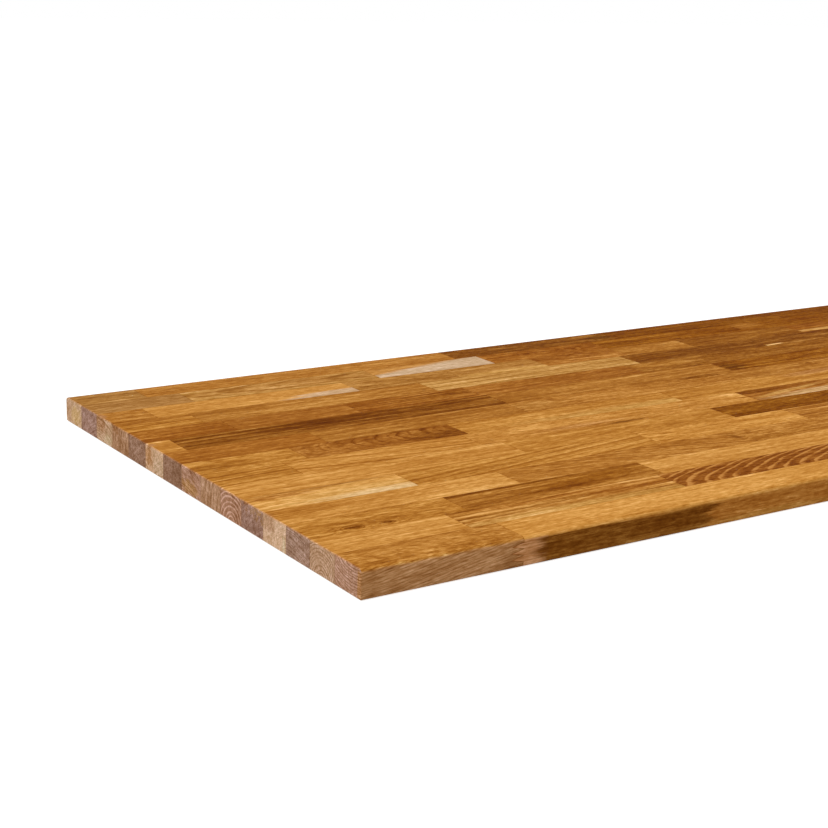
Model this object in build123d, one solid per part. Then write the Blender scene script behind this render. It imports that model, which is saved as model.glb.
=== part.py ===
"""Butcher block countertop: a finger-jointed stave panel, one board of stock.

Fifteen rows of hardwood staves are glued edge to edge. Along a row the staves
are joined end to end by finger joints that lie flat, so the top shows one
straight line at each joint and the long edges show the interlocking teeth.
The long edges are rounded over and the sawn ends have a small arris.

Millimetres. Origin at the middle of the underside, +X along the staves,
+Y across them to the back edge, +Z up. The sawn end that the photograph
shows is at -X and the front edge is at -Y.
"""
from build123d import *
import os

# Panel
LENGTH = 2000.0
THICKNESS = 27.0
FRONT_STAVE_WIDTH = 41.8
STAVE_WIDTH = 41.2
BACK_STAVE_WIDTH = 42.6

# Edges
TOP_ROUND = 4.0
UNDERSIDE_ROUND = 2.0
END_ARRIS = 0.8

# Finger joints
FINGER_LENGTH = 12.0
FINGER_PITCH = 6.0
FINGER_TIP = 0.8
LEAST_SHOULDER = 3.0

# Stave ends that show, measured from the near sawn end, front row first
SEEN_JOINTS = [
    [164],
    [138, 388],
    [164, 398],
    [255, 566],
    [165, 468, 684],
    [322, 613],
    [88, 299, 691],
    [118, 310, 610],
    [164, 420, 738],
    [26, 422, 768],
    [105, 256, 416, 662],
    [87, 384, 690, 912],
    [52, 304, 446, 577, 706, 820, 1021],
    [116, 358, 525, 708, 954],
    [78, 495, 756, 1068],
]

# Staves that carry each row on from its last seen joint to the far end, front row first
FURTHER_STAVES = [4, 5, 5, 4, 4, 4, 4, 4, 4, 4, 4, 3, 3, 3, 3]
# How far their joints stray from an even division, as a share of one stave, so rows stay staggered
STRAYS = [-0.18, -0.14, 0.27, 0.19, -0.02, -0.27, 0.11]
STRAY_STEP_BY_ROW = 2
STRAY_STEP_BY_JOINT = 4
LEAST_END_STAVE = 120.0

ROWS = len(SEEN_JOINTS)
WIDTH = FRONT_STAVE_WIDTH + (ROWS - 2) * STAVE_WIDTH + BACK_STAVE_WIDTH
FINGERS = int((THICKNESS - 2 * LEAST_SHOULDER) // FINGER_PITCH)
SHOULDER = (THICKNESS - FINGERS * FINGER_PITCH) / 2


def row_edges():
    """Y of every glue line across the panel, from the front edge to the back edge."""
    widths = [FRONT_STAVE_WIDTH] + [STAVE_WIDTH] * (ROWS - 2) + [BACK_STAVE_WIDTH]
    edges = [-WIDTH / 2]
    for width in widths:
        edges.append(edges[-1] + width)
    return edges


def row_joints(row):
    """Distances of a row's joints from the near end: the seen ones, then an uneven division of the rest."""
    joints = [float(place) for place in SEEN_JOINTS[row] if place < LENGTH - LEAST_END_STAVE]
    last = joints[-1]
    share = (LENGTH - last) / FURTHER_STAVES[row]
    for count in range(1, FURTHER_STAVES[row]):
        turn = STRAY_STEP_BY_ROW * row + STRAY_STEP_BY_JOINT * count
        stray = STRAYS[turn % len(STRAYS)]
        joints.append(last + (count + stray) * share)
    return joints


def joint_line(distance):
    """Finger joint as (x, z) points from the top down; its teeth point at the near end."""
    root = distance - LENGTH / 2
    tip = root - FINGER_LENGTH
    half_flat = FINGER_TIP / 2
    points = [(root, THICKNESS)]
    for finger in range(FINGERS):
        upper = THICKNESS - SHOULDER - finger * FINGER_PITCH
        middle = upper - FINGER_PITCH / 2
        lower = upper - FINGER_PITCH
        points.append((root, upper - half_flat))
        points.append((tip, middle + half_flat))
        points.append((tip, middle - half_flat))
        points.append((root, lower + half_flat))
    points.append((root, 0.0))
    return points


def sawn_end(side):
    """Square sawn end as (x, z) points from the top down, side -1 near and +1 far."""
    end = side * LENGTH / 2
    inner = end - side * END_ARRIS
    return [(inner, THICKNESS), (end, THICKNESS - END_ARRIS), (end, END_ARRIS), (inner, 0.0)]


def stave(near_line, far_line, front, width):
    """One stave: the outline between its two end lines, carried across the row."""
    outline = far_line + near_line[::-1]
    corners = [(x, front, z) for x, z in outline]
    face = make_face(Polyline(*corners, close=True))
    return extrude(face, amount=width, dir=(0, 1, 0))


def rounded_blank():
    """The whole panel with its long edges rounded, to shape the two outer rows."""
    blank = Pos(0, 0, THICKNESS / 2) * Box(LENGTH, WIDTH, THICKNESS)
    long_edges = blank.edges().filter_by(Axis.X)
    blank = fillet(long_edges.group_by(Axis.Z)[-1], TOP_ROUND)
    long_edges = blank.edges().filter_by(Axis.X)
    return fillet(long_edges.group_by(Axis.Z)[0], UNDERSIDE_ROUND)


def make_row(row, edges, blank):
    """All staves of one row, near end first."""
    lines = [sawn_end(-1)]
    lines += [joint_line(distance) for distance in row_joints(row)]
    lines += [sawn_end(1)]
    front = edges[row]
    width = edges[row + 1] - front
    staves = [stave(near, far, front, width) for near, far in zip(lines, lines[1:])]
    if row in (0, ROWS - 1):
        staves = [piece & blank for piece in staves]
    return staves


def main():
    os.makedirs("parts", exist_ok=True)
    edges = row_edges()
    blank = rounded_blank()
    for row in range(ROWS):
        staves = make_row(row, edges, blank)
        for name, first in (("odd", 0), ("even", 1)):
            group = Compound(children=[piece.solid() for piece in staves[first::2]])
            export_step(group, f"parts/row_{row + 1:02d}_{name}_staves.step")
        print(f"row {row + 1:2d}: {len(staves)} staves")


main()
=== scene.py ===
"""Butcher block countertop: its staves, their oiled wood, and the studio around it.

Metres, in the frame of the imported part: +X along the staves, +Y to the back edge, +Z up.
"""
import math
import random

import bmesh
import bpy
from bpy.props import FloatProperty, FloatVectorProperty, IntProperty, PointerProperty
from mathutils import Matrix, Vector


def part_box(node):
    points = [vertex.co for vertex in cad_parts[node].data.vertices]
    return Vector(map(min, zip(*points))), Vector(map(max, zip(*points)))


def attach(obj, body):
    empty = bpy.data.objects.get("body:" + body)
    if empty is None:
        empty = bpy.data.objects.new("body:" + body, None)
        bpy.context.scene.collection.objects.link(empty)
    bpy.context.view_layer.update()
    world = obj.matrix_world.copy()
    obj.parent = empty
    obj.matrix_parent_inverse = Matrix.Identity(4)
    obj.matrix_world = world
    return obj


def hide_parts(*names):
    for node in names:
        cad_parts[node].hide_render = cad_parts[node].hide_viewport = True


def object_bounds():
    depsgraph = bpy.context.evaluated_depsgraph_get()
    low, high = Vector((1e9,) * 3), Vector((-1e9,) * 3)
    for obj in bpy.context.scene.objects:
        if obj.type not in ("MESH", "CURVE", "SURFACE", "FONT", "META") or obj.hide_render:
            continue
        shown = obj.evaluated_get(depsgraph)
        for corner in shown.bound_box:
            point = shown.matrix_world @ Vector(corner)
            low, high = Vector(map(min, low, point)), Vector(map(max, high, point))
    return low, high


bl_info = {
    "name": "Butcher block countertop",
    "version": (1, 0, 0),
    "blender": (4, 5, 0),
    "location": "3D View > Sidebar > Countertop",
    "description": "Builds a finger-jointed stave countertop with oiled wood and a studio",
    "category": "Add Mesh",
}

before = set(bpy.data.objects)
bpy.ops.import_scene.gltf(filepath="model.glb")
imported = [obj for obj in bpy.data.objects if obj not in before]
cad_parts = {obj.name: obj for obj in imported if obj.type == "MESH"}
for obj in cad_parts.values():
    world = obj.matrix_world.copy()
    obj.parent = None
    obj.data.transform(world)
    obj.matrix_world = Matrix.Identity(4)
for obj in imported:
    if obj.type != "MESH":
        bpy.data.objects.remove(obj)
CAD_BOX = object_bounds()
LOW, HIGH = Vector(CAD_BOX[0]), Vector(CAD_BOX[1])
THICKNESS = HIGH.z - LOW.z
MM = 0.001
# In metres: lengths that differ by less than the first count as the same, and corners nearer
# than the second are joined
CLOSE = 1e-6
WELD = 1e-5
ROWS = sum(1 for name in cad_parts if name.endswith("odd_staves"))
SEED = 41


def linear(colour):
    """An sRGB hex colour as linear red, green and blue."""
    parts = [int(colour[at:at + 2], 16) / 255 for at in (1, 3, 5)]
    return [part / 12.92 if part <= 0.04045 else ((part + 0.055) / 1.055) ** 2.4 for part in parts]


# The woods of the staves, as they look when planed and oiled
TONES = {
    "ivory": "#F2D6B2",
    "sapwood": "#E6BE86",
    "cream": "#D4B28E",
    "shell": "#E2A674",
    "straw": "#DCA85E",
    "clay": "#CC9562",
    "rose": "#C08A66",
    "dusk": "#BC8659",
    "tan": "#C9944E",
    "honey": "#D6984A",
    "apricot": "#CE9044",
    "wheat": "#BC8440",
    "amber": "#C38539",
    # These two are wood paled and greyed by a painted sheen
    "fawn": "#B27E42",
    "hazel": "#AE793A",
    "toffee": "#BA7C34",
    "copper": "#C37D33",
    "caramel": "#B0732D",
    "nutmeg": "#A96A27",
    "cinnamon": "#A46421",
    "chestnut": "#9A5F1E",
    "russet": "#965812",
    "walnut": "#8E5519",
    "umber": "#864B0B",
    "mocha": "#8E5017",
    "bark": "#6C3C08",
}

# End grain drinks more oil and looks duller, and its greyish-pink cast is painted cool light on those
# faces
END_TONES = {
    "blush": "#EEC6A2",
    "peach": "#E0B894",
    "sand": "#D8AE8C",
    "clay": "#D0A185",
    "nut": "#CA9C78",
    "mauve": "#C49E88",
    "rust": "#B48262",
    "cocoa": "#B48C79",
    "earth": "#A47B60",
}

# How each board was sawn. In mm: where the pith lies beside and below the stave, and the ring
# pitch. Then how far the pith leans across and up for each mm along. Then how strongly growth
# lines show, on the broad faces and on a long edge (dark below zero, light above), and streaks,
# flecks and the rings of a sawn end. Last, how even the years were (0 wild to 1 even).
FIGURES = {
    "plain": ((-42, -60), 3.4, (0.012, 0.01), -1.3, -1.3, 0.6, 1.0, -2.0, 0.0),
    "calm": ((-30, -90), 4.0, (0.01, 0.012), -0.7, -0.7, 0.45, 0.7, -1.2, 0.0),
    "flecked": ((20, -60), 3.0, (0.03, 0.05), -1.4, -1.4, 0.6, 1.8, -3.4, 0.5),
    "striped": ((-85, -22), 6.0, (0.045, 0.0), -3.2, -3.2, 0.7, 0.9, -2.0, 0.0),
    "slanted": ((-110, -30), 9.0, (0.13, 0.0), -2.6, -2.6, 0.5, 0.9, -2.4, 0.0),
    "fanned": ((-36, -52), 4.2, (0.0, 0.2), 4.0, 4.0, 0.6, 0.8, 2.0, 1.0),
    "ringed": ((8, -40), 3.2, (0.03, 0.22), -2.4, -2.4, 0.7, 1.6, -2.4, 0.2),
    "cathedral": ((3, -34), 3.2, (0.0, 0.05), -2.6, -2.6, 0.6, 1.0, -2.4, 0.2),
    "steep": ((110, -30), 6.5, (-0.28, 0.0), -2.6, -2.6, 0.5, 1.4, -2.0, 0.0),
    "streaked": ((-70, -26), 5.0, (0.02, 0.0), -1.8, -1.8, 1.0, 1.0, -2.0, 0.0),
    "arched": ((-3, -17), 4.6, (0.0, 0.0), -0.8, -0.8, 0.45, 0.7, 4.0, 0.9),
    "coned": ((2, -13), 3.0, (0.0, 0.0), -0.9, -0.9, 0.5, 0.8, -4.0, 0.9),
    "layered": ((-12, 66), 2.7, (0.0, 0.2), -0.6, -2.0, 0.6, 1.2, -4.0, 0.9),
}

# The staves that the photograph shows as tone/figure, near end first and front row first. A
# figure that ends in - is the mirror of the other.
SEEN_STAVES = [
    "toffee/layered honey/calm",
    "apricot/coned toffee/streaked mocha/fanned",
    "amber/flecked caramel/plain apricot/calm",
    "apricot/plain toffee/steep toffee/flecked",
    "honey/plain amber/slanted honey/flecked",
    "apricot/arched amber/calm umber/plain",
    "amber/striped apricot/slanted- apricot/flecked nutmeg/striped",
    "amber/flecked nutmeg/ringed amber/plain amber/plain",
    "cinnamon/calm caramel/plain toffee/flecked caramel/plain",
    "apricot/plain chestnut/streaked caramel/plain russet/streaked",
    # From this row to the back the tones run mostly a step darker: partly the woods' own spread, partly
    # painted shade for light that dims towards the back
    "cinnamon/plain nutmeg/calm cinnamon/streaked nutmeg/plain chestnut/flecked",
    "amber/striped caramel/plain tan/striped walnut/plain walnut/streaked",
    "toffee/flecked apricot/calm wheat/flecked wheat/plain nutmeg/flecked caramel/plain "
    "chestnut/plain cinnamon/plain",
    # The first staves of this row and the next are paled and greyed by a painted sheen
    "fawn/plain tan/cathedral cream/calm cinnamon/flecked russet/plain russet/plain",
    "hazel/plain toffee/plain walnut/flecked umber/plain umber/calm",
]
# What the other staves are drawn from
UNSEEN_TONES = ["apricot", "amber", "toffee", "caramel", "cinnamon", "russet", "umber", "tan", "honey"]
UNSEEN_FIGURES = ["plain", "calm", "flecked", "striped", "streaked-", "cathedral", "plain-", "slanted",
                  "layered"]
# The near sawn ends, front row first
SEEN_ENDS = "clay sand mauve blush cocoa rust nut clay earth blush earth nut peach cocoa peach".split()

# How a patch meets the wood round it: how soft its edge is, how ragged, how short the rags are
# (0 long to 1 short) and how square the patch is (0 oval to 1 square)
PATCH_EDGES = {
    "hazy": (0.6, 0.6, 0.3, 0.0),
    "streaky": (0.4, 0.6, 0.25, 0.0),
    "broken": (0.5, 1.0, 0.7, 0.0),
    "clean": (0.2, 0.3, 0.2, 0.0),
    "tapered": (0.35, 0.35, 0.2, 0.0),
    "squarish": (0.07, 0.09, 0.5, 1.0),
    "rough": (0.08, 0.14, 0.0, 1.0),
    # Edge for the painted highlight specks
    "nicked": (0.2, 1.5, 1.0, 0.0),
    "slit": (0.25, 0.15, 0.2, 0.0),
}

# Patches in the wood. In mm: row, distance from the near end, from the row's front edge and
# above the underside, and reach along, across and up. Then drift across for each mm along,
# tone, strength and edge.
PATCHES = [
    (1, 78, 0, 10, (92, 6, 14.6), 0.0, "clay", 0.95, "squarish"),
    (1, 149, 0, 8, (12, 3, 9), 0.0, "walnut", 0.35, "broken"),
    # Painted highlights: small pale specks along the front top arris
    (1, 60, -0.5, 27.5, (34, 1.6, 1.6), 0.0, "straw", 0.9, "nicked"),
    (1, 400, 0, 9, (450, 6, 14.6), 0.0, "copper", 0.95, "squarish"),
    (1, 170, 0, 8, (20, 6, 16.6), 0.0, "shell", 0.8, "rough"),
    (1, 282, 0, 10, (100, 6, 13.6), 0.0, "walnut", 0.95, "rough"),
    (1, 450, 0, 2, (90, 3, 4), 0.0, "honey", 0.9, "streaky"),
    (2, 290, 3, 27, (150, 9, 9), 0.0, "straw", 0.9, "hazy"),
    (2, 225, 22, 27, (110, 5, 9), 0.045, "chestnut", 0.9, "streaky"),
    (2, 250, 34, 27, (80, 2.6, 9), 0.05, "cinnamon", 0.8, "slit"),
    (2, 345, 29, 27, (60, 8, 9), 0.0, "cinnamon", 0.95, "streaky"),
    (3, 325, 26, 27, (85, 15, 12), 0.0, "russet", 0.85, "hazy"),
    (3, 230, 39, 27, (90, 2.4, 12), 0.0, "umber", 0.95, "broken"),
    (3, 190, 8, 27, (34, 4, 12), 0.25, "russet", 0.3, "broken"),
    (3, 49, 9, 27, (9, 4, 9), 0.0, "umber", 0.3, "broken"),
    (3, 83, 8, 27, (7, 3, 9), -0.1, "umber", 0.4, "broken"),
    (4, 0.5, 4, 6, (5, 2.6, 10), 0.0, "ivory", 0.9, "streaky"),
    (4, 0.5, 31, 18, (5, 9, 8), 0.0, "rose", 0.4, "streaky"),
    (4, 556, 24, 27, (5, 10, 9), -0.5, "umber", 0.6, "broken"),
    (4, 610, 8, 27, (55, 6, 9), 0.05, "russet", 0.7, "broken"),
    (5, 104, 4, 27, (96, 26, 14), 0.0, "straw", 0.8, "hazy"),
    (5, 162, 0, 27, (118, 12.5, 9), 0.0, "sapwood", 0.95, "tapered"),
    (5, 34, 33, 27, (34, 5, 10), 0.0, "cinnamon", 0.8, "broken"),
    (5, 60, 40, 27, (80, 1.8, 10), 0.0, "umber", 0.5, "streaky"),
    (5, 300, 20, 27, (90, 1.6, 12), 0.17, "russet", 0.55, "broken"),
    (7, 715, 35, 27, (40, 9, 12), -0.1, "umber", 0.6, "streaky"),
    (7, 440, 12, 27, (50, 6, 6), 0.0, "clay", 0.3, "hazy"),
    (7, 790, 6, 27, (80, 8, 9), 0.06, "sapwood", 0.7, "hazy"),
    (7, 755, 20, 27, (60, 4, 9), 0.16, "straw", 0.7, "streaky"),
    (7, 488, 3, 27, (22, 1.8, 4), 0.0, "bark", 0.5, "broken"),
    (8, 0.5, 23, 8, (5, 17, 6.5), 0.0, "tan", 0.6, "streaky"),
    (8, 10, 16, 27, (40, 8, 8), 0.0, "russet", 0.4, "hazy"),
    (8, 570, 4, 27, (150, 12, 8), 0.0, "straw", 0.9, "hazy"),
    (8, 285, 14, 27, (36, 14, 9), 0.0, "chestnut", 0.6, "hazy"),
    (8, 855, 34, 27, (42, 9, 9), 0.05, "dusk", 0.4, "hazy"),
    (9, 445, 20, 27, (32, 16, 9), 0.0, "tan", 0.3, "hazy"),
    (9, 715, 36, 27, (34, 5, 9), 0.0, "umber", 0.95, "streaky"),
    (10, 0.5, 10, 8, (5, 12, 9), 0.0, "cream", 0.6, "streaky"),
    (10, 0.5, 34, 18, (5, 9, 13), 0.0, "clay", 0.9, "streaky"),
    (10, 200, 35, 27, (190, 7, 12), 0.0, "umber", 0.55, "streaky"),
    (10, 230, 2, 27, (80, 8, 8), 0.0, "caramel", 0.6, "hazy"),
    (10, 782, 20, 27, (18, 14, 9), 0.0, "bark", 0.6, "streaky"),
    (11, 375, 22, 27, (60, 16, 9), 0.0, "umber", 0.6, "hazy"),
    (11, 520, 27, 27, (55, 6, 9), 0.0, "russet", 0.3, "streaky"),
    (11, 565, 38, 27, (48, 2.4, 9), 0.0, "umber", 0.6, "streaky"),
    (11, 700, 24, 27, (60, 13, 9), 0.0, "amber", 0.6, "hazy"),
    (12, 30, 34, 27, (70, 9, 9), 0.0, "nutmeg", 0.5, "streaky"),
    (12, 916, 4, 27, (26, 2.2, 9), 0.06, "straw", 0.9, "slit"),
    (12, 720, 20, 27, (35, 14, 9), 0.0, "umber", 0.5, "streaky"),
    (13, 0.5, 11, 5, (5, 9, 6), 0.0, "ivory", 0.8, "streaky"),
    (13, 0.5, 30, 20, (5, 13, 9), 0.0, "dusk", 0.8, "streaky"),
    (13, 300, 2, 27, (85, 16, 10), 0.0, "cream", 0.8, "clean"),
    (13, 512, 1, 27, (90, 9, 10), 0.0, "straw", 0.9, "streaky"),
    (13, 1105, 8, 27, (92, 5, 10), 0.0, "straw", 0.9, "streaky"),
    (14, 240, 24, 27, (120, 16, 12), 0.0, "cinnamon", 0.4, "streaky"),
    (14, 361, 34.5, 27, (400, 20, 20), 0.19, "amber", 0.95, "clean"),
    (14, 745, 19, 27, (40, 9, 9), 0.0, "umber", 0.8, "streaky"),
    (14, 974, 30, 27, (28, 14, 9), 0.0, "toffee", 0.7, "hazy"),
    (15, 0.5, 16, 11, (5, 12, 10), 0.0, "sapwood", 0.9, "streaky"),
    (15, 0.5, 37, 14, (5, 8, 14), 0.0, "dusk", 0.3, "streaky"),
    (15, 742, 18, 27, (24, 12, 12), 0.0, "bark", 0.9, "streaky"),
]
# Every stave has this many, with empty ones among them
PATCHES_EACH = 4
NO_PATCH = (0, 0, 0, (1, 1, 1), 0, "tan", 0, "clean")

# Knots, in mm: row, distance from the near end, from the row's front edge, and size
KNOTS = [
    (3, 49, 9, 7.0),
    (3, 83, 8, 5.5),
    (9, 885, 28, 4.0),
    (14, 592, 25, 5.0),
    (14, 662, 22, 6.0),
    (14, 833, 6, 4.0),
]
KNOTS_EACH = 2
NO_KNOT = (0, 0, 0)

# Size of each pattern in mm. Straight ones: along, across and up. Curled ones follow the rings:
# along, through them and round them.
STRAIGHT = {
    "drift": (260, 40, 40),
    "streak": (150, 5, 5),
    "vein": (90, 1.8, 1.8),
    "cloud": (100, 11, 11),
    "mottle": (9, 3, 3),
    "fibre": (24, 1.2, 1.2),
    "fleck": (9, 1.6, 1.6),
    "pore": (5, 0.6, 0.6),
}
CURLED = {
    "wobble": (120, 30, 30),
    "layer": (180, 2.6, 14),
    "ray": (180, 16, 1.2),
}
# A glue line's reach to each side, in mm. A finger's flank runs steeply along the stave, so the
# line is measured this many times as wide there, from this share of a finger on.
GLUE = 0.4
FLANK_GLUE = 7
FLANK_START = 0.02
# Further away than any edge of a stave, in metres, where it has no joint or no neighbour
NO_JOINT = 9.0

# Noise of every pattern, and the part of its range that counts as -1 to 1
NOISE = {"Scale": 1.0, "Detail": 3.0, "Roughness": 0.6}
NOISE_LOW, NOISE_HIGH = 0.3, 0.7
# Fibres lean less than the rings do
FIBRE_LEAN = 0.4

# Growth rings. The wobble is in mm, and the rest are shares of one year's ring. A pair gives the
# value for wild years and for even ones.
RING_WOBBLE = 1.1
YEAR_DRIFT = 0.6
YEAR_SWAY = (1.6, 0.3)
LEAST_YEAR = (0.25, 0.7)
FIBRE_SWAY = 0.05
LATE_START, LATE_FULL = 0.5, 0.85
LATE_FADE, LATE_END = 0.88, 1.0
EARLY_END, EARLY_LEAST = 0.4, 0.3
# How much late wood shows where the clouds are darkest and where they are lightest
LATE_IN_CLOUD = (0.35, 1.25)

# How much longer a knot is along the stave than across, and the size of its rags in mm
KNOT_STRETCH = 1.9
KNOT_RAG = (7, 2, 2)
# In sizes of the knot: its core, the halo round it, how torn both are, how fast the rings calm
# down away from it and how far they bulge. Then how dark the halo is against the core.
KNOT_CORE = (0.3, 1.1)
KNOT_HALO = 1.7
HALO_WIDTH = 0.25
KNOT_TEAR = 0.6
KNOT_FALLOFF = 0.7
KNOT_BULGE = 2.0
HALO_SHARE = 0.35

# How squarely a face looks along the stave where it starts to be end grain, and where it is fully
END_GRAIN = (0.55, 0.85)

# How much each pattern adds to the shade, first those that a figure's streaks scale
SHARES = {"layer": 1.2, "streak": 1.2, "cloud": 1.2, "drift": 1.3}
FINE_SHARES = {"fibre": 1.0, "mottle": 1.0}
VEINS = 1.6
RAYS = 0.5
KNOT_SHADE = 2.4
GLUE_SHADE = 3.0
DARKEST, LIGHTEST = -6.0, 2.4
# Noise between which a vein, a fleck and a pore come to show
VEIN_LEVELS = (0.3, 0.8)
FLECK_LEVELS = (0.2, 0.9)
PORE_LEVELS = (0.2, 0.8)

# Relief and dullness of the surface, as shares: fibres beside pores, and what a pore adds
FIBRE_RELIEF = 0.3
RELIEF = 0.5
PORE_DULLNESS = 0.06

# How far each stave strays from its figure: its place in the patterns, its pith in mm, its shade
SEED_RANGE = 40
PITH_STRAY = 4
SHADE_STRAY = 0.1

# Edges of a mesh that turn more than this stay sharp
SHARP = math.radians(30)
# The floor lies this far under the panel, in mm, and can't be seen from below. Rays that start
# inside the gap, which are shorter than a few gaps, don't meet it either.
GAP = 0.5
GAP_RAYS = 4
# The sensor that the lens is given for, in mm
SENSOR = 36.0

WHITE = (1, 1, 1, 1)

# Kinds of node that are added many times
MATH = "ShaderNodeMath"
VECTOR = "ShaderNodeVectorMath"
RANGE = "ShaderNodeMapRange"
MIX = "ShaderNodeMix"
SPLIT = "ShaderNodeSeparateXYZ"
JOIN = "ShaderNodeCombineXYZ"


def add(tree, kind, links=None, operation=None, **settings):
    """Adds a node, with its settings, and its inputs as values or sockets, and gives its outputs."""
    node = tree.nodes.new(kind)
    if operation:
        node.operation = operation
    for name, value in settings.items():
        setattr(node, name, value)
    for name, value in (links or {}).items():
        if isinstance(value, bpy.types.NodeSocket):
            tree.links.new(value, node.inputs[name])
        else:
            node.inputs[name].default_value = value
    return node.outputs


def fresh_tree(block):
    """The emptied node tree of a new material or world."""
    block.use_nodes = True
    block.node_tree.nodes.clear()
    return block.node_tree


def placed(name, data):
    """A new object in the scene, at the origin."""
    thing = bpy.data.objects.new(name, data)
    bpy.context.scene.collection.objects.link(thing)
    return thing


class StaveSettings(bpy.types.PropertyGroup):
    """Sizes of the staves and of their edges."""

    top_round: FloatProperty(
        name="Top round", description="Radius of the long top edges", default=4.0 * MM, unit="LENGTH")
    underside_round: FloatProperty(
        name="Underside round", description="Radius of the long bottom edges",
        default=2.0 * MM, unit="LENGTH")
    end_arris: FloatProperty(
        name="End arris", description="Bevel sanded on the sawn ends", default=0.8 * MM, unit="LENGTH")
    finger_length: FloatProperty(
        name="Finger length", description="Depth of the finger joints", default=12.0 * MM, unit="LENGTH")
    finger_pitch: FloatProperty(
        name="Finger pitch", description="Height of one finger", default=6.0 * MM, unit="LENGTH")
    finger_tip: FloatProperty(
        name="Finger tip", description="Flat at a finger's tip and root", default=0.8 * MM, unit="LENGTH")
    fingers: IntProperty(name="Fingers", description="Fingers in one joint", default=3, min=1)
    round_steps: IntProperty(
        name="Round steps", description="Facets across a rounded edge", default=6, min=2)


class WoodSettings(bpy.types.PropertyGroup):
    """Finish of the oiled staves."""

    roughness: FloatProperty(
        name="Roughness", description="Roughness of the oiled face", default=0.8, subtype="FACTOR")
    end_roughness: FloatProperty(
        name="End roughness", description="Roughness of the sawn end grain",
        default=0.9, subtype="FACTOR")
    specular: FloatProperty(
        name="Specular", description="Strength of the oil's gloss", default=0.02, subtype="FACTOR")
    grain_depth: FloatProperty(
        name="Grain depth", description="Depth of pores and fibres", default=0.15 * MM, unit="LENGTH")
    deeper: FloatVectorProperty(
        name="Deeper", description="One step of shade multiplies the wood by this colour",
        default=(0.874, 0.874, 0.84), subtype="COLOR")
    own_depth: FloatProperty(
        name="Own depth", description="How much a dark wood darkens further, as a power of its tone",
        default=0.127, subtype="FACTOR")


class StageSettings(bpy.types.PropertyGroup):
    """Camera, light and floor."""

    camera_from_corner: FloatVectorProperty(
        name="Camera", description="Camera's place from the near bottom corner",
        default=(-0.6656, -1.0579, 0.4945), unit="LENGTH")
    camera_turn: FloatProperty(
        name="Turn", description="Turn of the view from +Y towards +X",
        default=math.radians(33.93), unit="ROTATION")
    camera_dip: FloatProperty(
        name="Dip", description="How far the view looks down",
        default=math.radians(15.08), unit="ROTATION")
    camera_roll: FloatProperty(
        name="Roll", description="Roll of the camera", default=math.radians(1.72), unit="ROTATION")
    lens: FloatProperty(name="Lens", description="Focal length in mm on a 36 mm sensor", default=71.86)
    sun: FloatProperty(name="Key light", description="Strength of the soft key light", default=2.0)
    sun_from: FloatVectorProperty(
        name="Key from", description="Where the soft key light comes from",
        default=(-0.45, -0.12, 1.0), subtype="XYZ")
    sun_spread: FloatProperty(
        name="Key spread", description="How broad the soft key light is",
        default=math.radians(50), unit="ROTATION")
    sky: FloatProperty(name="Sky", description="Strength of the light from all round", default=0.42)
    floor_colour: FloatVectorProperty(
        name="Floor", description="Colour of the floor under the lamps",
        default=(0.5, 0.5, 0.5), subtype="COLOR")
    floor_glow: FloatProperty(
        name="Floor glow", description="What the eye sees on top of that, so that the floor is white",
        default=0.75)
    floor_half: FloatProperty(
        name="Floor reach", description="How far the floor reaches each way", default=12.0, unit="LENGTH")


def islands(node):
    """Lowest and highest X of each solid in a CAD node, near end first."""
    shape = bmesh.new()
    shape.from_mesh(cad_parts[node].data)
    bmesh.ops.remove_doubles(shape, verts=shape.verts, dist=CLOSE)
    left = set(shape.verts)
    spans = []
    while left:
        reached = [left.pop()]
        xs = []
        while reached:
            corner = reached.pop()
            xs.append(corner.co.x)
            for edge in corner.link_edges:
                other = edge.other_vert(corner)
                if other in left:
                    left.remove(other)
                    reached.append(other)
        spans.append((min(xs), max(xs)))
    shape.free()
    return sorted(spans)


def joint_line(root, size):
    """A finger joint as (x, z) points from the top down, its fingers pointing at the near end."""
    tip = root - size.finger_length
    flat = size.finger_tip / 2
    shoulder = (THICKNESS - size.fingers * size.finger_pitch) / 2
    points = [(root, HIGH.z)]
    for finger in range(size.fingers):
        upper = HIGH.z - shoulder - finger * size.finger_pitch
        middle = upper - size.finger_pitch / 2
        lower = upper - size.finger_pitch
        points += [(root, upper - flat), (tip, middle + flat), (tip, middle - flat), (root, lower + flat)]
    return points + [(root, LOW.z)]


def sawn_line(end, inwards, size):
    """A sawn end as (x, z) points from the top down, with its sanded arris."""
    inner = end + inwards * size.end_arris
    return [(inner, HIGH.z), (end, HIGH.z - size.end_arris), (end, LOW.z + size.end_arris), (inner, LOW.z)]


def stave_outline(near, far, size):
    """The outline of a stave between its two ends, wound so that its face looks to +Y."""
    if near < LOW.x + CLOSE:
        near_line = sawn_line(LOW.x, 1, size)
    else:
        near_line = joint_line(near + size.finger_length, size)
    if far > HIGH.x - CLOSE:
        far_line = sawn_line(HIGH.x, -1, size)
    else:
        far_line = joint_line(far, size)
    return far_line + near_line[::-1]


def marks_here(marks, row, near, far, most, none):
    """The marks of a table whose middle lies in one stave, made up to a fixed number."""
    here = [mark[1:] for mark in marks if mark[0] == row and near <= LOW.x + mark[1] * MM < far]
    return (here + [none] * most)[:most]


def patch_look(name, patch, front, centre):
    """The values that the wood's material reads for one patch."""
    along, across, height, reach, drift, tone, strength, edge = patch
    soft, ragged, short, square = PATCH_EDGES[edge]
    place = Vector((LOW.x + along * MM, front + across * MM, LOW.z + height * MM))
    return {
        name + "at": place - centre,
        name + "scale": Vector([1 / (side * MM) for side in reach]),
        name + "form": Vector((drift, strength, soft)),
        name + "edge": Vector((ragged, short, square)),
        name + "tone": linear(TONES[tone]),
    }


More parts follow.
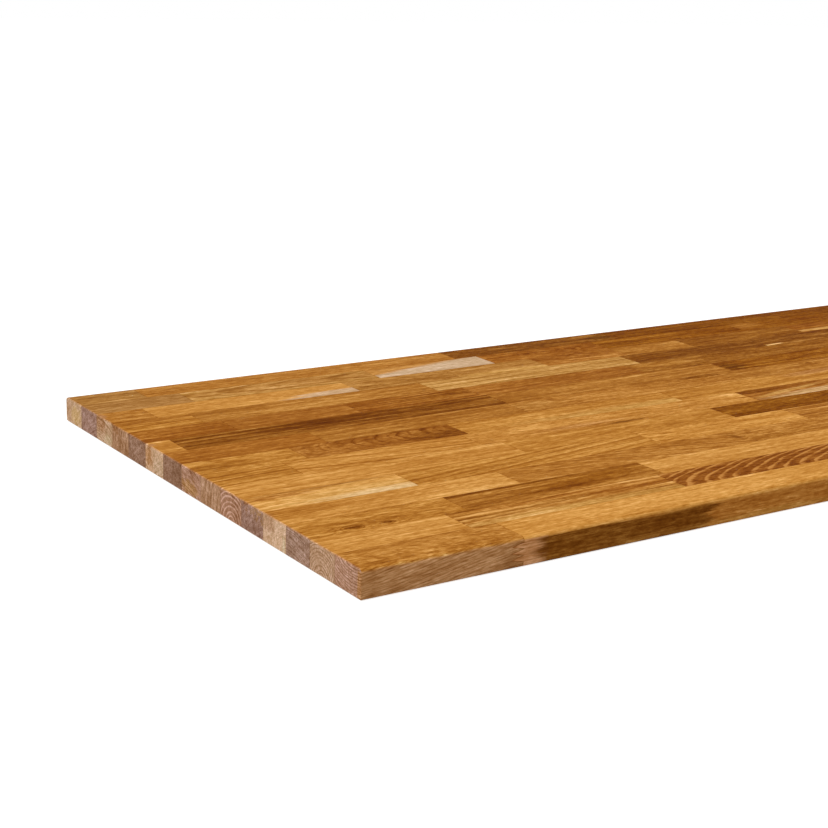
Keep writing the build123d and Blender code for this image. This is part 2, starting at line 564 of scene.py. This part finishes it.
def stave_look(row, count, near, far, front, width, draw):
    """The values that the wood's material reads on one stave, whose joints' roots are at near and far."""
    seen = SEEN_STAVES[row - 1].split()
    if count < len(seen):
        tone, figure = seen[count].split("/")
    else:
        tone, figure = draw.choice(UNSEEN_TONES), draw.choice(UNSEEN_FIGURES)
    side = -1 if figure.endswith("-") else 1
    pith, pitch, lean, lines, edges, streaks, flecks, ends, even = FIGURES[figure.rstrip("-")]
    seed = Vector([draw.uniform(0, SEED_RANGE) for _ in range(3)])
    pith_y = side * pith[0] + draw.uniform(-PITH_STRAY, PITH_STRAY)
    pith_z = pith[1] + draw.uniform(-PITH_STRAY, PITH_STRAY)
    shade = draw.uniform(-SHADE_STRAY, SHADE_STRAY)
    end_tone = SEEN_ENDS[row - 1] if count == 0 else draw.choice(sorted(END_TONES))

    centre = Vector(((near + far) / 2, front + width / 2, (LOW.z + HIGH.z) / 2))
    near_joint = near - centre.x if near > LOW.x + CLOSE else -NO_JOINT
    far_joint = far - centre.x if far < HIGH.x - CLOSE else NO_JOINT
    front_seam = -width / 2 if row > 1 else -NO_JOINT
    back_seam = width / 2 if row < ROWS else NO_JOINT
    look = {
        "centre": centre,
        "seed": seed,
        "pith": Vector((0, pith_y, pith_z)) * MM,
        "lean": Vector((0, side * lean[0], lean[1])),
        "rings": Vector((pitch * MM, lines, ends)),
        "marks": Vector((streaks, flecks, shade)),
        "tone": linear(TONES[tone]),
        "end_tone": linear(END_TONES[end_tone]),
        "joints": Vector((near_joint, far_joint, 0)),
        "years": Vector((even, edges, 0)),
        "seams": Vector((front_seam, back_seam, 0)),
    }
    knots = marks_here(KNOTS, row, near, far, KNOTS_EACH, NO_KNOT)
    for slot, (along, across, knot_size) in enumerate(knots):
        place = Vector((LOW.x + along * MM, front + across * MM, 0)) - centre
        look[f"knot_{slot + 1}"] = Vector((place.x, place.y, knot_size * MM))
    patches = marks_here(PATCHES, row, near, far, PATCHES_EACH, NO_PATCH)
    for slot, patch in enumerate(patches):
        look.update(patch_look(f"patch_{slot + 1}_", patch, front, centre))
    return look


def outlines_mesh(name, outlines, looks, front):
    """A mesh of one face for each stave, on the row's front plane, with the values of its wood."""
    corners, faces = [], []
    for outline in outlines:
        faces.append(list(range(len(corners), len(corners) + len(outline))))
        corners += [(x, front, z) for x, z in outline]
    mesh = bpy.data.meshes.new(name)
    mesh.from_pydata(corners, [], faces)
    for key in looks[0]:
        attribute = mesh.attributes.new(key, "FLOAT_VECTOR", "POINT")
        values = []
        for outline, look in zip(outlines, looks):
            values += list(look[key]) * len(outline)
        attribute.data.foreach_set("vector", values)
    return mesh


def carried_across(tree, given, steps):
    """The outlines carried across the row as solids, in thin steps where an outer edge is rounded."""
    turns = [math.cos(step * math.pi / 2 / steps) for step in range(steps + 1)]
    shares = [wider - narrower for wider, narrower in zip(turns, turns[1:])]
    front, back = [add(tree, MATH, {0: given["Top round"], 1: given[switch]}, "MULTIPLY")[0]
                   for switch in ("Round at front", "Round at back")]
    both = add(tree, MATH, {0: front, 1: back}, "ADD")[0]
    plain = add(tree, MATH, {0: given["Width"], 1: both}, "SUBTRACT")[0]
    layers = [(front, share) for share in shares]
    layers += [(plain, 1.0)]
    layers += [(back, share) for share in reversed(shares)]
    solid, chosen = given["Outlines"], None
    for length, share in layers:
        step = add(tree, MATH, {0: length, 1: share}, "MULTIPLY")[0]
        across = add(tree, JOIN, {"Y": step})[0]
        push = {"Mesh": solid, "Offset": across, "Offset Scale": 1.0, "Individual": False}
        if chosen:
            push["Selection"] = chosen
        pushed = add(tree, "GeometryNodeExtrudeMesh", push, mode="FACES")
        solid, chosen = pushed["Mesh"], pushed["Top"]
    first = add(tree, "GeometryNodeFlipFaces", {"Mesh": given["Outlines"]})
    closed = add(tree, "GeometryNodeJoinGeometry", {"Geometry": solid})
    tree.links.new(first[0], closed[0].node.inputs["Geometry"])
    merge = {"Geometry": closed[0], "Distance": WELD}
    return add(tree, "GeometryNodeMergeByDistance", merge)[0]


def edges_rounded(tree, given, solid):
    """The staves with the panel's long edges rounded: each corner near one moves onto its arc."""
    place = add(tree, "GeometryNodeInputPosition")[0]
    place = add(tree, SPLIT, {0: place})
    from_front = add(tree, MATH, {0: place["Y"], 1: given["Front"]}, "SUBTRACT")[0]
    from_back = add(tree, MATH, {0: given["Width"], 1: from_front}, "SUBTRACT")[0]
    height = place["Z"]
    faces = (("Top round", HIGH.z, -1, "MINIMUM"), ("Underside round", LOW.z, 1, "MAXIMUM"))
    sides = ((from_front, "Round at front"), (from_back, "Round at back"))
    for name, level, away, pick in faces:
        for depth, switch in sides:
            reach = add(tree, MATH, {0: given[name], 1: given[switch]}, "MULTIPLY")[0]
            left = add(tree, MATH, {0: reach, 1: depth}, "SUBTRACT")[0]
            left = add(tree, MATH, {0: left, 1: 0.0}, "MAXIMUM")[0]
            square = add(tree, MATH, {0: left, 1: left}, "MULTIPLY")[0]
            whole = add(tree, MATH, {0: reach, 1: reach}, "MULTIPLY")[0]
            rest = add(tree, MATH, {0: whole, 1: square}, "SUBTRACT")[0]
            rise = add(tree, MATH, {0: rest, 1: 0.5}, "POWER")[0]
            drop = add(tree, MATH, {0: reach, 1: rise}, "SUBTRACT")[0]
            arc = add(tree, MATH, {0: drop, 1: away, 2: level}, "MULTIPLY_ADD")[0]
            height = add(tree, MATH, {0: height, 1: arc}, pick)[0]
    moved = add(tree, JOIN, {"X": place["X"], "Y": place["Y"], "Z": height})[0]
    return add(tree, "GeometryNodeSetPosition", {"Geometry": solid, "Position": moved})[0]


def stave_tree(size):
    """Geometry Nodes that make a row's staves from their outlines."""
    tree = bpy.data.node_groups.new("Staves across a row", "GeometryNodeTree")
    face = tree.interface
    face.new_socket("Outlines", in_out="INPUT", socket_type="NodeSocketGeometry")
    for name in ("Front", "Width", "Top round", "Underside round", "Round at front", "Round at back"):
        face.new_socket(name, in_out="INPUT", socket_type="NodeSocketFloat")
    face.new_socket("Wood", in_out="INPUT", socket_type="NodeSocketMaterial")
    face.new_socket("Staves", in_out="OUTPUT", socket_type="NodeSocketGeometry")
    given = add(tree, "NodeGroupInput")
    solid = carried_across(tree, given, size.round_steps)
    solid = edges_rounded(tree, given, solid)
    real = add(tree, "GeometryNodeRealizeInstances", {"Geometry": solid})[0]
    dressed = add(tree, "GeometryNodeSetMaterial", {"Geometry": real, "Material": given["Wood"]})[0]
    add(tree, "NodeGroupOutput", {"Staves": dressed})
    return tree


def through_nodes(mesh, name, tree, values):
    """The mesh that a tree makes of another mesh, as a new object at the origin."""
    carrier = placed(name + "_outlines", mesh)
    modifier = carrier.modifiers.new("nodes", "NODES")
    modifier.node_group = tree
    for item in tree.interface.items_tree:
        if item.name in values:
            modifier[item.identifier] = values[item.name]
    seen = carrier.evaluated_get(bpy.context.evaluated_depsgraph_get())
    result = bpy.data.meshes.new_from_object(seen)
    result.name = name
    bpy.data.objects.remove(carrier)
    result.shade_smooth()
    result.set_sharp_from_angle(angle=SHARP)
    return placed(name, result)


def knotted(tree, given, local, rag):
    """How dark the knots make each place, and how far the rings bulge round them."""
    dark, bulge = 0.0, 0.0
    for slot in range(KNOTS_EACH):
        knot = add(tree, SPLIT, {0: given[f"knot_{slot + 1}"]})
        middle = add(tree, JOIN, {"X": knot["X"], "Y": knot["Y"]})[0]
        away = add(tree, VECTOR, {0: local, 1: middle}, "SUBTRACT")[0]
        away = add(tree, VECTOR, {0: away, 1: (1 / KNOT_STRETCH, 1, 0)}, "MULTIPLY")[0]
        away = add(tree, VECTOR, {0: away}, "LENGTH")["Value"]
        size = add(tree, MATH, {0: knot["Z"], 1: CLOSE}, "MAXIMUM")[0]
        far = add(tree, MATH, {0: away, 1: size}, "DIVIDE")[0]
        close = add(tree, MATH, {0: far, 1: 2.0}, "POWER")[0]
        close = add(tree, MATH, {0: close, 1: -KNOT_FALLOFF}, "MULTIPLY")[0]
        close = add(tree, MATH, {0: close}, "EXPONENT")[0]
        bulge = add(tree, MATH, {0: close, 1: size, 2: bulge}, "MULTIPLY_ADD")[0]
        torn = add(tree, MATH, {0: rag, 1: KNOT_TEAR, 2: far}, "MULTIPLY_ADD")[0]
        core = add(tree, RANGE, {"Value": torn, "From Min": KNOT_CORE[0], "From Max": KNOT_CORE[1],
                                 "To Min": 1.0, "To Max": 0.0}, interpolation_type="SMOOTHSTEP")[0]
        halo = add(tree, MATH, {0: torn, 1: KNOT_HALO, 2: HALO_WIDTH}, "COMPARE")[0]
        core = add(tree, MATH, {0: halo, 1: HALO_SHARE, 2: core}, "MULTIPLY_ADD")[0]
        dark = add(tree, MATH, {0: dark, 1: core}, "MAXIMUM")[0]
    return dark, bulge


def rings_round_pith(tree, given, local, bulge):
    """Places in a stave: straight, along its fibres, and curled, along its growth rings."""
    along = add(tree, SPLIT, {0: local})["X"]
    leaned = add(tree, VECTOR, {0: given["lean"], "Scale": along}, "SCALE")[0]
    line = add(tree, VECTOR, {0: given["pith"], 1: leaned}, "ADD")[0]
    arm = add(tree, VECTOR, {0: local, 1: line}, "SUBTRACT")[0]
    arm = add(tree, VECTOR, {0: arm, 1: (0, 1, 1)}, "MULTIPLY")[0]
    eased = add(tree, VECTOR, {0: leaned, "Scale": -FIBRE_LEAN}, "SCALE")[0]
    straight = add(tree, VECTOR, {0: local, 1: eased}, "ADD")[0]
    radius = add(tree, VECTOR, {0: arm}, "LENGTH")["Value"]
    radius = add(tree, MATH, {0: bulge, 1: KNOT_BULGE, 2: radius}, "MULTIPLY_ADD")[0]
    parts = add(tree, SPLIT, {0: arm})
    angle = add(tree, MATH, {0: parts["Y"], 1: parts["Z"]}, "ARCTAN2")[0]
    round_it = add(tree, MATH, {0: angle, 1: radius}, "MULTIPLY")[0]
    curled = add(tree, JOIN, {"X": along, "Y": radius, "Z": round_it})[0]
    return straight, curled, radius


def grain_patterns(tree, place, sizes, seed):
    """One noise for each size, from about -1 to 1."""
    patterns = {}
    for name, size in sizes.items():
        scale = [1 / (side * MM) for side in size]
        spot = add(tree, VECTOR, {0: place, 1: scale, 2: seed}, "MULTIPLY_ADD")[0]
        noise = add(tree, "ShaderNodeTexNoise", {"Vector": spot, **NOISE})["Fac"]
        level = add(tree, RANGE, {"Value": noise, "From Min": NOISE_LOW, "From Max": NOISE_HIGH,
                                  "To Min": -1.0, "To Max": 1.0}, clamp=False)
        patterns[name] = level[0]
    return patterns


def growth_lines(tree, given, grain, radius):
    """Each year's late wood: how strong it is here, and how early in its year a place is."""
    pitch = add(tree, SPLIT, {0: given["rings"]})["X"]
    even = add(tree, SPLIT, {0: given["years"]})["X"]
    swing = add(tree, MATH, {0: grain["wobble"], 1: RING_WOBBLE * MM, 2: radius}, "MULTIPLY_ADD")
    turns = add(tree, MATH, {0: swing[0], 1: pitch}, "DIVIDE")[0]
    uneven = add(tree, "ShaderNodeTexNoise", {"W": turns, "Scale": YEAR_DRIFT, "Detail": 0.0},
                 noise_dimensions="1D")["Fac"]
    sway = add(tree, RANGE, {"Value": even, "To Min": YEAR_SWAY[0], "To Max": YEAR_SWAY[1]})[0]
    turns = add(tree, MATH, {0: uneven, 1: sway, 2: turns}, "MULTIPLY_ADD")[0]
    turns = add(tree, MATH, {0: grain["fibre"], 1: FIBRE_SWAY, 2: turns}, "MULTIPLY_ADD")[0]
    phase = add(tree, MATH, {0: turns}, "FRACT")[0]
    year = add(tree, MATH, {0: turns}, "FLOOR")[0]
    chance = add(tree, "ShaderNodeTexWhiteNoise", {"W": year}, noise_dimensions="1D")["Value"]
    rise = add(tree, RANGE, {"Value": phase, "From Min": LATE_START, "From Max": LATE_FULL},
               interpolation_type="SMOOTHSTEP")[0]
    fall = add(tree, RANGE, {"Value": phase, "From Min": LATE_FADE, "From Max": LATE_END,
                             "To Min": 1.0, "To Max": 0.0})[0]
    least = add(tree, RANGE, {"Value": even, "To Min": LEAST_YEAR[0], "To Max": LEAST_YEAR[1]})[0]
    chance = add(tree, RANGE, {"Value": chance, "To Min": least, "To Max": 1.0})[0]
    fading = add(tree, RANGE, {"Value": grain["cloud"], "From Min": -1.0, "To Min": LATE_IN_CLOUD[0],
                               "To Max": LATE_IN_CLOUD[1]})[0]
    late = rise
    for share in (fall, chance, fading):
        late = add(tree, MATH, {0: late, 1: share}, "MULTIPLY")[0]
    early = add(tree, RANGE, {"Value": phase, "From Max": EARLY_END, "To Min": 1.0,
                              "To Max": EARLY_LEAST})[0]
    return late, early


def glue_lines(tree, given, local, size):
    """Thin dark glue lines: straight between rows and over a joint, zigzag round its fingers."""
    place = add(tree, SPLIT, {0: local})
    joints = add(tree, SPLIT, {0: given["joints"]})
    seams = add(tree, SPLIT, {0: given["seams"]})
    top = size.fingers * size.finger_pitch / 2
    down = add(tree, MATH, {0: top, 1: place["Z"]}, "SUBTRACT")[0]
    turn = add(tree, MATH, {0: down, 1: 1 / size.finger_pitch}, "MULTIPLY")[0]
    turn = add(tree, "ShaderNodeClamp", {"Value": turn, "Min": 0.0, "Max": float(size.fingers)})[0]
    tooth = add(tree, MATH, {0: turn, 1: 0.5}, "PINGPONG")[0]
    back = add(tree, MATH, {0: tooth, 1: -2 * size.finger_length}, "MULTIPLY")[0]
    wide = add(tree, RANGE, {"Value": tooth, "From Max": FLANK_START, "To Min": GLUE * MM,
                             "To Max": FLANK_GLUE * GLUE * MM})[0]
    lines = [(place["Y"], seams["X"], GLUE * MM), (place["Y"], seams["Y"], GLUE * MM)]
    for root in (joints["X"], joints["Y"]):
        zigzag = add(tree, MATH, {0: root, 1: back}, "ADD")[0]
        lines.append((place["X"], zigzag, wide))
    glue = 0.0
    for across, line, reach in lines:
        far = add(tree, MATH, {0: across, 1: line}, "SUBTRACT")[0]
        far = add(tree, MATH, {0: far}, "ABSOLUTE")[0]
        here = add(tree, RANGE, {"Value": far, "From Max": reach, "To Min": 1.0, "To Max": 0.0})[0]
        glue = add(tree, MATH, {0: here, 1: glue}, "MAXIMUM")[0]
    return glue


def patched(tree, colour, given, local, long_edge, short_edge):
    """The colour with each stave's patches laid over it."""
    for slot in range(PATCHES_EACH):
        name = f"patch_{slot + 1}_"
        form = add(tree, SPLIT, {0: given[name + "form"]})
        edge = add(tree, SPLIT, {0: given[name + "edge"]})
        away = add(tree, VECTOR, {0: local, 1: given[name + "at"]}, "SUBTRACT")[0]
        run = add(tree, SPLIT, {0: away})
        drifted = add(tree, MATH, {0: run["X"], 1: form["X"]}, "MULTIPLY")[0]
        across = add(tree, MATH, {0: run["Y"], 1: drifted}, "SUBTRACT")[0]
        level = add(tree, JOIN, {"X": run["X"], "Y": across, "Z": run["Z"]})[0]
        ratio = add(tree, VECTOR, {0: level, 1: given[name + "scale"]}, "MULTIPLY")[0]
        oval = add(tree, VECTOR, {0: ratio}, "LENGTH")["Value"]
        sides = add(tree, VECTOR, {0: ratio}, "ABSOLUTE")[0]
        sides = add(tree, SPLIT, {0: sides})
        square = add(tree, MATH, {0: sides["X"], 1: sides["Y"]}, "MAXIMUM")[0]
        square = add(tree, MATH, {0: square, 1: sides["Z"]}, "MAXIMUM")[0]
        far = add(tree, MIX, {"Factor": edge["Z"], 2: oval, 3: square})[0]
        rag = add(tree, MIX, {"Factor": edge["Y"], 2: long_edge, 3: short_edge})[0]
        ragged = add(tree, MATH, {0: rag, 1: edge["X"], 2: far}, "MULTIPLY_ADD")[0]
        inner = add(tree, MATH, {0: 1.0, 1: form["Z"]}, "SUBTRACT")[0]
        outer = add(tree, MATH, {0: 1.0, 1: form["Z"]}, "ADD")[0]
        amount = add(tree, RANGE, {"Value": ragged, "From Min": inner, "From Max": outer,
                                   "To Min": form["Y"], "To Max": 0.0},
                     interpolation_type="SMOOTHSTEP")[0]
        colour = add(tree, MIX, {"Factor": amount, 6: colour, 7: given[name + "tone"]},
                     data_type="RGBA")[2]
    return colour


def figure_shade(tree, given, grain, late, end, edge):
    """How light or dark a stave's figure makes it against its tone: every pattern adds to it."""
    rings = add(tree, SPLIT, {0: given["rings"]})
    years = add(tree, SPLIT, {0: given["years"]})
    marks = add(tree, SPLIT, {0: given["marks"]})
    line = add(tree, MIX, {"Factor": edge, 2: rings["Y"], 3: years["Y"]})[0]
    line = add(tree, MIX, {"Factor": end, 2: line, 3: rings["Z"]})[0]
    shade = add(tree, MATH, {0: late, 1: line, 2: marks["Z"]}, "MULTIPLY_ADD")[0]
    for name, share in SHARES.items():
        part = add(tree, MATH, {0: grain[name], 1: share}, "MULTIPLY")[0]
        shade = add(tree, MATH, {0: part, 1: marks["X"], 2: shade}, "MULTIPLY_ADD")[0]
    for name, share in FINE_SHARES.items():
        shade = add(tree, MATH, {0: grain[name], 1: share, 2: shade}, "MULTIPLY_ADD")[0]
    vein = add(tree, RANGE, {"Value": grain["vein"], "From Min": VEIN_LEVELS[0],
                             "From Max": VEIN_LEVELS[1], "To Max": -VEINS},
               interpolation_type="SMOOTHSTEP")[0]
    shade = add(tree, MATH, {0: vein, 1: marks["X"], 2: shade}, "MULTIPLY_ADD")[0]
    ray = add(tree, MATH, {0: grain["ray"], 1: RAYS}, "MULTIPLY")[0]
    return add(tree, MATH, {0: ray, 1: end, 2: shade}, "MULTIPLY_ADD")[0]


def hollows(tree, given, grain, early):
    """How hollow the surface is: flecks as the figure has them, and pores in the early wood."""
    flecks = add(tree, SPLIT, {0: given["marks"]})["Y"]
    hollow = 0.0
    for name, levels, share in (("fleck", FLECK_LEVELS, flecks), ("pore", PORE_LEVELS, early)):
        mark = add(tree, RANGE, {"Value": grain[name], "From Min": levels[0], "From Max": levels[1]})[0]
        hollow = add(tree, MATH, {0: mark, 1: share, 2: hollow}, "MULTIPLY_ADD")[0]
    return hollow


def shaded(tree, colour, shade, finish):
    """The colour so many steps lighter or darker. Oil deepens dark wood more, and blue before red."""
    step = add(tree, "ShaderNodeGamma", {"Color": colour, "Gamma": finish.own_depth})[0]
    step = add(tree, VECTOR, {0: step, 1: finish.deeper}, "MULTIPLY")[0]
    steps = add(tree, RANGE, {"Value": shade, "From Min": DARKEST, "From Max": LIGHTEST,
                              "To Min": -DARKEST, "To Max": -LIGHTEST})[0]
    factor = add(tree, "ShaderNodeGamma", {"Color": step, "Gamma": steps})[0]
    return add(tree, VECTOR, {0: colour, 1: factor}, "MULTIPLY")[0]


def oiled_hardwood(finish, size):
    """Dense hardwood, planed, sanded and oiled. It looks warm and deep, with a faint sheen, and
    fibres, pores and growth rings run through each stave and out onto its end grain."""
    material = bpy.data.materials.new("oiled_hardwood_staves")
    tree = fresh_tree(material)
    names = "centre seed pith lean rings marks tone end_tone joints years seams".split()
    names += [f"knot_{slot + 1}" for slot in range(KNOTS_EACH)]
    for slot in range(PATCHES_EACH):
        names += [f"patch_{slot + 1}_{part}" for part in ("at", "scale", "form", "edge", "tone")]
    given = {name: add(tree, "ShaderNodeAttribute", attribute_name=name)["Vector"] for name in names}

    # Patterns in the solid wood
    place = add(tree, "ShaderNodeTexCoord")["Object"]
    local = add(tree, VECTOR, {0: place, 1: given["centre"]}, "SUBTRACT")[0]
    rag = grain_patterns(tree, local, {"rag": KNOT_RAG}, given["seed"])["rag"]
    knot, bulge = knotted(tree, given, local, rag)
    straight, curled, radius = rings_round_pith(tree, given, local, bulge)
    grain = grain_patterns(tree, straight, STRAIGHT, given["seed"])
    grain.update(grain_patterns(tree, curled, CURLED, given["seed"]))
    late, early = growth_lines(tree, given, grain, radius)

    # Tone: end grain is where a face looks along the stave
    facing = add(tree, "ShaderNodeNewGeometry")["Normal"]
    facing = add(tree, VECTOR, {0: facing}, "ABSOLUTE")[0]
    facing = add(tree, SPLIT, {0: facing})
    end = add(tree, RANGE, {"Value": facing["X"], "From Min": END_GRAIN[0], "From Max": END_GRAIN[1]})[0]
    colour = add(tree, MIX, {"Factor": end, 6: given["tone"], 7: given["end_tone"]}, data_type="RGBA")[2]
    colour = patched(tree, colour, given, local, grain["streak"], grain["fleck"])

    # Shade: the figure, less what hollows, knots and glue take away
    shade = figure_shade(tree, given, grain, late, end, facing["Y"])
    hollow = hollows(tree, given, grain, early)
    glue = glue_lines(tree, given, local, size)
    for mark, steps in ((hollow, 1.0), (knot, KNOT_SHADE), (glue, GLUE_SHADE)):
        shade = add(tree, MATH, {0: mark, 1: -steps, 2: shade}, "MULTIPLY_ADD")[0]
    colour = shaded(tree, colour, shade, finish)

    # Surface: end grain and pores are duller, and pores lie deeper than fibres
    dull = add(tree, RANGE, {"Value": end, "To Min": finish.roughness, "To Max": finish.end_roughness})[0]
    dull = add(tree, MATH, {0: hollow, 1: PORE_DULLNESS, 2: dull}, "MULTIPLY_ADD")[0]
    relief = add(tree, MATH, {0: grain["fibre"], 1: FIBRE_RELIEF}, "MULTIPLY")[0]
    relief = add(tree, MATH, {0: relief, 1: hollow}, "SUBTRACT")[0]
    bump = add(tree, "ShaderNodeBump", {
        "Height": relief, "Strength": RELIEF, "Distance": finish.grain_depth})
    shader = add(tree, "ShaderNodeBsdfPrincipled", {
        "Base Color": colour, "Roughness": dull, "Specular IOR Level": finish.specular,
        "Normal": bump[0]})
    add(tree, "ShaderNodeOutputMaterial", {"Surface": shader[0]})
    return material


def shown_rays(tree, ray):
    """1 where the eye looks, directly or in a gloss or through glass, and 0 where light falls."""
    shown = add(tree, MATH, {0: ray["Is Camera Ray"], 1: ray["Is Glossy Ray"]}, "ADD")[0]
    return add(tree, MATH, {0: shown, 1: ray["Is Transmission Ray"]}, "ADD", use_clamp=True)[0]


def pale_world(look):
    """A world that looks white, and lights the panel softly from all round."""
    world = bpy.data.worlds.new("pale studio")
    tree = fresh_tree(world)
    shown = shown_rays(tree, add(tree, "ShaderNodeLightPath"))
    level = add(tree, RANGE, {"Value": shown, "To Min": look.sky, "To Max": 1.0})[0]
    sky = add(tree, "ShaderNodeBackground", {"Color": WHITE, "Strength": level})[0]
    add(tree, "ShaderNodeOutputWorld", {"Surface": sky})
    return world


def pale_floor(look):
    """A matt floor that looks white and still takes the panel's shadow, and is clear from below."""
    white = bpy.data.materials.new("pale_floor")
    tree = fresh_tree(white)
    ray = add(tree, "ShaderNodeLightPath")
    plain = add(tree, "ShaderNodeBsdfDiffuse", {"Color": (*look.floor_colour, 1)})[0]
    glow = add(tree, "ShaderNodeEmission", {"Color": WHITE, "Strength": look.floor_glow})[0]
    lit = add(tree, "ShaderNodeAddShader", {0: plain, 1: glow})[0]
    matt = add(tree, "ShaderNodeMixShader", {0: shown_rays(tree, ray), 1: plain, 2: lit})[0]
    under = add(tree, "ShaderNodeNewGeometry")["Backfacing"]
    near = add(tree, MATH, {0: ray["Ray Length"], 1: GAP_RAYS * GAP * MM}, "LESS_THAN")[0]
    clear = add(tree, MATH, {0: under, 1: near}, "MAXIMUM")[0]
    glass = add(tree, "ShaderNodeBsdfTransparent")[0]
    mixed = add(tree, "ShaderNodeMixShader", {0: clear, 1: matt, 2: glass})[0]
    add(tree, "ShaderNodeOutputMaterial", {"Surface": mixed})

    half, level = look.floor_half, LOW.z - GAP * MM
    corners = [(x * half, y * half, level) for x, y in ((-1, -1), (1, -1), (1, 1), (-1, 1))]
    mesh = bpy.data.meshes.new("pale_floor")
    mesh.from_pydata(corners, [], [(0, 1, 2, 3)])
    mesh.materials.append(white)
    return placed("pale_floor", mesh)


def soft_key(look):
    """One broad lamp from above and a little to the near end, so the long front edge is dimmest."""
    lamp = bpy.data.lights.new("soft_key", "SUN")
    lamp.energy = look.sun
    lamp.angle = look.sun_spread
    key = placed("soft_key", lamp)
    key.matrix_world = Vector(look.sun_from).to_track_quat("Z", "Y").to_matrix().to_4x4()


def aimed_camera(look):
    """The camera at the photograph's viewing angle."""
    turn, dip, roll = look.camera_turn, look.camera_dip, look.camera_roll
    ahead = Vector((math.sin(turn) * math.cos(dip), math.cos(turn) * math.cos(dip), -math.sin(dip)))
    level = ahead.cross(Vector((0, 0, 1))).normalized()
    upward = level.cross(ahead)
    right = level * math.cos(roll) + upward * math.sin(roll)
    up = upward * math.cos(roll) - level * math.sin(roll)
    view = bpy.data.cameras.new("camera")
    view.lens = look.lens
    view.sensor_width = SENSOR
    camera = placed("camera", view)
    turned = Matrix((right, up, -ahead)).transposed().to_4x4()
    camera.matrix_world = Matrix.Translation(LOW + Vector(look.camera_from_corner)) @ turned
    return camera


class COUNTERTOP_OT_staves(bpy.types.Operator):
    """Makes the staves of every row and gives them their wood"""

    bl_idname = "countertop.staves"
    bl_label = "Make staves"

    def execute(self, context):
        size = context.scene.countertop_staves
        wood = oiled_hardwood(context.scene.countertop_wood, size)
        tree = stave_tree(size)
        draw = random.Random(SEED)
        for row in range(1, ROWS + 1):
            nodes = [f"row_{row:02d}_{kind}_staves" for kind in ("odd", "even")]
            spans = sorted((near, far, node) for node in nodes for near, far in islands(node))
            low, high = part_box(nodes[0])
            front, width = low.y, high.y - low.y
            looks = []
            for count, (near, far, _) in enumerate(spans):
                near_root = near + size.finger_length if count else near
                looks.append(stave_look(row, count, near_root, far, front, width, draw))
            values = {
                "Front": front, "Width": width, "Top round": size.top_round,
                "Underside round": size.underside_round, "Round at front": float(row == 1),
                "Round at back": float(row == ROWS), "Wood": wood,
            }
            for node in nodes:
                mine = [at for at, span in enumerate(spans) if span[2] == node]
                outlines = [stave_outline(spans[at][0], spans[at][1], size) for at in mine]
                mesh = outlines_mesh(node, outlines, [looks[at] for at in mine], front)
                piece = through_nodes(mesh, "oiled_" + node, tree, values)
                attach(piece, "root")
                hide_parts(node)
        return {"FINISHED"}


class COUNTERTOP_OT_studio(bpy.types.Operator):
    """Makes the floor, the lamps and the camera"""

    bl_idname = "countertop.studio"
    bl_label = "Make studio"

    def execute(self, context):
        scene = context.scene
        look = scene.countertop_stage
        scene.view_settings.view_transform = "Standard"
        scene.world = pale_world(look)
        pale_floor(look)
        soft_key(look)
        scene.camera = aimed_camera(look)
        return {"FINISHED"}


class COUNTERTOP_PT_panel(bpy.types.Panel):
    """The countertop's steps and settings"""

    bl_label = "Butcher block countertop"
    bl_idname = "COUNTERTOP_PT_panel"
    bl_space_type = "VIEW_3D"
    bl_region_type = "UI"
    bl_category = "Countertop"

    def draw(self, context):
        for step in OPERATORS:
            self.layout.operator(step.bl_idname)
        for name, group in GROUPS.items():
            settings = getattr(context.scene, name)
            for key in group.__annotations__:
                self.layout.prop(settings, key)


GROUPS = {
    "countertop_staves": StaveSettings,
    "countertop_wood": WoodSettings,
    "countertop_stage": StageSettings,
}
OPERATORS = (COUNTERTOP_OT_staves, COUNTERTOP_OT_studio)


def register():
    for kind in (*GROUPS.values(), *OPERATORS, COUNTERTOP_PT_panel):
        bpy.utils.register_class(kind)
    for name, group in GROUPS.items():
        setattr(bpy.types.Scene, name, PointerProperty(type=group))


def unregister():
    for name in GROUPS:
        delattr(bpy.types.Scene, name)
    for kind in (COUNTERTOP_PT_panel, *OPERATORS, *GROUPS.values()):
        bpy.utils.unregister_class(kind)


def main():
    """Builds the countertop and its studio."""
    register()
    bpy.ops.countertop.staves()
    bpy.ops.countertop.studio()


if __name__ == "__main__":
    main()
